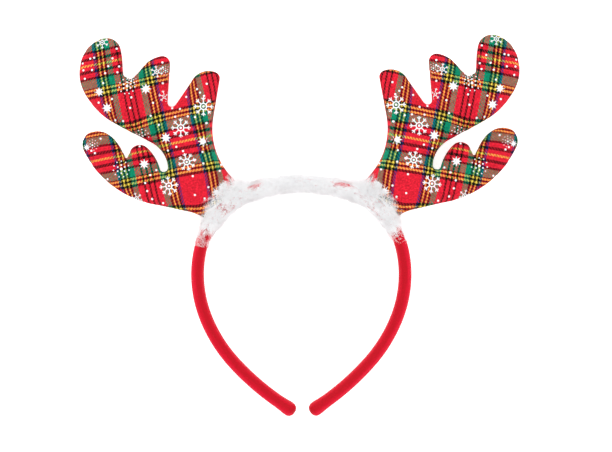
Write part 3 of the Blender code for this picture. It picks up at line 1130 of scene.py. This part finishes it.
def trim_place(spots, angles, depth):
    """Points of the trim: along the band, round it, and out from the sleeve (0) to the
    trim's own surface (1)."""
    path, sides, along = whole_band(PATH_STEP)
    table = np.array(TRIM_SECTIONS)
    flat = np.stack([np.interp(spots, along, path[:, k]) for k in range(2)], axis=-1)
    side = np.stack([np.interp(spots, along, sides[:, k]) for k in range(2)], axis=-1)
    side /= norm(side, axis=-1)[..., None]
    out, back, up = (np.interp(np.abs(spots), table[:, 0], table[:, k]) for k in (1, 2, 3))
    c = np.cos(angles)
    s = np.sin(angles)
    round_off = (np.abs(c) ** TRIM_ROUNDNESS + np.abs(s) ** TRIM_ROUNDNESS) ** (1 / TRIM_ROUNDNESS)
    across = c / round_off
    rise = s / round_off
    near = BAND_HALF_THICK + TRIM_GAP
    reach = across * (near + (np.where(c > 0, out, back) - near) * depth)
    depth = np.minimum(depth, 1 + FLUFF_LIFT * (depth - 1))
    near = BAND_HALF_DEPTH + TRIM_GAP
    rise = rise * (near + (np.where(s > 0, up, np.minimum(up, MID_HEIGHT)) - near) * depth)
    return np.concatenate([flat + side * reach[..., None], MID_HEIGHT + rise[..., None]], axis=-1)


def thin_share(spots, angles):
    """The share of tufts that is left at each place."""
    share = np.interp(np.abs(spots), *np.array(TRIM_SECTIONS)[:, [0, 4]].T)
    for along, turn, reach, spread, left in THIN_PLACES:
        off = (angles - radians(turn) + pi) % (2 * pi) - pi
        gap = ((np.abs(spots) - along) / reach) ** 2 + (off / radians(spread)) ** 2
        near = np.exp(-gap * gap)
        share = share * (1 - (1 - left) * near)
    return share


def lift_over_antlers(points, height, line):
    """Push the parts of the barbs that would sink into an antler out to its faces."""
    flat = points.reshape(-1, 3)
    spots = np.column_stack([-np.abs(flat[:, 0]), flat[:, 1]])
    over = inside(spots, line)
    cloth = np.zeros(len(flat))
    cloth[over] = height(spots[over]) + TRIM_GAP
    rise = flat[:, 2] - MID_HEIGHT
    buried = over & (np.abs(rise) < cloth)
    flat[buried, 2] = MID_HEIGHT + np.where(rise[buried] < -0.5, -1, 1) * cloth[buried]
    flat[:, 2] = np.maximum(flat[:, 2], FLOOR_GAP)
    return flat.reshape(points.shape)


class HEADBAND_OT_trim(bpy.types.Operator):
    """Wrap the band's top and the antlers' roots in tufts of white down"""

    bl_idname = "headband.trim"
    bl_label = "Feather Trim"

    def execute(self, context):
        line = even_line(belt(ANTLER_CIRCLES, OUTLINE_CURVE_STEP), 2.0)
        height = padding_field(line, sizes().padding, size_of("firmness"))
        down = feather_finish()
        rng = np.random.default_rng(DOWN_SEED)
        barbs = []
        for _, tufts, low, high, turn_low, turn_high, *rest in DOWN_LAYERS:
            barbs.append(self.layer(rng, tufts, low, high, turn_low, turn_high, *rest))
            if turn_high < 360.0:
                barbs.append(self.layer(rng, tufts, low, high, 360 - turn_high, 360 - turn_low, *rest))
        spots = np.concatenate([row[0] for row in barbs])
        lines = lift_over_antlers(np.concatenate([row[1] for row in barbs]), height, line)
        order = np.argsort(spots)
        for name, part in zip(("down_left", "down_middle", "down_right"), np.array_split(order, 3)):
            obj = self.ribbons(name, lines[part])
            obj.data.materials.append(down)
            finish_piece(obj, "feather_trim")
        return {"FINISHED"}

    def layer(self, rng, tufts, low, high, turn_low, turn_high, start, end, length, width):
        """Where one layer's barbs stand along the band, and their middle lines."""
        tufts = round(tufts * sizes().tuft_share)
        spots = rng.uniform(low, high, 8 * tufts) * rng.choice((-1, 1), 8 * tufts)
        angles = np.radians(rng.uniform(turn_low, turn_high, 8 * tufts))
        kept = np.flatnonzero(rng.random(8 * tufts) < thin_share(spots, angles))[:tufts, None]
        spots = spots[kept]
        angles = angles[kept]
        size = (len(kept), sizes().barbs)
        heading = rng.uniform(0, 2 * pi, (len(kept), 1)) + rng.normal(0, 0.5, size)
        curl = rng.normal(0, 1.0, (len(kept), 1)) + rng.normal(0, 0.6, size)
        length = length * rng.lognormal(-0.1, 0.35, size)
        start = start + rng.uniform(-0.1, 0.2, (len(kept), 1)) + rng.normal(0, 0.12, size)
        rise = (end - start) * rng.uniform(0.3, 1.2, size)
        table = np.array(TRIM_SECTIONS)
        girth = np.interp(np.abs(spots), table[:, 0], (table[:, 1] + table[:, 3]) / 2)
        last = table[-1, 0]
        rows = []
        s = spots + rng.normal(0, width, size)
        a = angles + rng.normal(0, width, size) / girth
        for k in range(BARB_PARTS + 1):
            t = k / BARB_PARTS
            s = np.sign(s) * (last - np.abs(last - np.abs(s)))
            rows.append(trim_place(s, a, np.maximum(start + rise * t, 0.0)))
            way = heading + curl * t
            s = s + length / BARB_PARTS * np.cos(way)
            a = a + length / BARB_PARTS * np.sin(way) / girth
        lines = np.stack(rows, axis=2).reshape(-1, BARB_PARTS + 1, 3)
        return np.broadcast_to(spots, size).ravel(), lines

    def ribbons(self, name, spines):
        """One mesh of narrow ribbons along the given lines."""
        count, knots, _ = spines.shape
        run = np.gradient(spines, axis=1)
        out = spines - spines.mean(axis=1, keepdims=True)
        out[..., 2] += 1.0
        flat = np.cross(run, out)
        flat /= np.maximum(norm(flat, axis=2), 1e-6)[..., None]
        taper = 1 - (1 - BARB_TIP) * np.linspace(0, 1, knots)
        half = flat * (size_of("barb_width") / 2 * taper)[None, :, None]
        points = np.stack([spines - half, spines + half], axis=2).reshape(-1, 3)
        points[:, 2] = np.maximum(points[:, 2], FLOOR_GAP)
        base = 2 * knots * np.arange(count)[:, None] + 2 * np.arange(knots - 1)
        faces = np.stack([base, base + 2, base + 3, base + 1], axis=-1).reshape(-1, 4)
        return mesh_object(name, points, faces.tolist())


class HEADBAND_OT_stage(bpy.types.Operator):
    """Lay the floor, hang the lights and set the camera over the headband"""

    bl_idname = "headband.stage"
    bl_label = "Stage"

    def execute(self, context):
        nothing_selected()
        bpy.ops.mesh.primitive_plane_add(size=FLOOR_SIZE, location=(0.0, 0.0, -FLOOR_DROP))
        floor = context.active_object
        floor.name = "floor"
        bpy.ops.object.transform_apply(location=True, rotation=True, scale=True)
        finish = Finish("pale floor")
        finish.set(Base_Color=(*shades().floor, 1.0), Roughness=0.9)
        finish.set(Emission_Color=(1.0, 1.0, 1.0, 1.0), Emission_Strength=FLOOR_GLOW)
        floor.data.materials.append(finish.material)
        world = bpy.data.worlds.new("soft sky")
        world.use_nodes = True
        sky = world.node_tree.nodes["Background"]
        sky.inputs["Color"].default_value = (1.0, 1.0, 1.0, 1.0)
        sky.inputs["Strength"].default_value = SKY_STRENGTH
        context.scene.world = world
        for name, place, power in SOFT_LIGHTS:
            lamp = bpy.data.lights.new(name, "AREA")
            lamp.size = SOFT_LIGHT_SIZE
            lamp.energy = power
            light = add_object(name, lamp)
            light.location = place
            light.rotation_euler = Vector(place).to_track_quat("Z", "Y").to_euler()
        eye = bpy.data.cameras.new("photo camera")
        eye.lens = CAMERA_LENS
        eye.clip_end = 20.0
        camera = add_object("photo camera", eye)
        away = PHOTO_WIDTH * PIXEL * eye.lens / eye.sensor_width
        x, y = PHOTO_MIDDLE
        camera.location = (x * MM, (y - CENTRE_Y) * MM, (away + MID_HEIGHT) * MM)
        camera.rotation_euler = (0.0, 0.0, -PHOTO_TILT)
        context.scene.camera = camera
        context.scene.view_settings.view_transform = "Standard"
        return {"FINISHED"}


class HEADBAND_PT_panel(bpy.types.Panel):
    """Lists the sizes, colours and pieces"""

    bl_label = "Plaid Antler Headband"
    bl_space_type = "VIEW_3D"
    bl_region_type = "UI"
    bl_category = "Headband"

    def draw(self, context):
        for group in (context.scene.headband_sizes, context.scene.headband_colours):
            for name in group.__annotations__:
                self.layout.prop(group, name)
        for step in STEPS:
            self.layout.operator(step.bl_idname)


STEPS = (
    HEADBAND_OT_sleeve,
    HEADBAND_OT_antlers,
    HEADBAND_OT_snow,
    HEADBAND_OT_trim,
    HEADBAND_OT_stage,
)
CLASSES = (HeadbandSizes, HeadbandColours, *STEPS, HEADBAND_PT_panel)


def register():
    for cls in CLASSES:
        bpy.utils.register_class(cls)
    bpy.types.Scene.headband_sizes = PointerProperty(type=HeadbandSizes)
    bpy.types.Scene.headband_colours = PointerProperty(type=HeadbandColours)


def unregister():
    del bpy.types.Scene.headband_colours
    del bpy.types.Scene.headband_sizes
    for cls in reversed(CLASSES):
        bpy.utils.unregister_class(cls)


def main():
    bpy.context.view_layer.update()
    register()
    bpy.ops.headband.sleeve()
    bpy.ops.headband.antlers()
    bpy.ops.headband.snow()
    bpy.ops.headband.trim()
    bpy.ops.headband.stage()


if __name__ == "__main__":
    main()
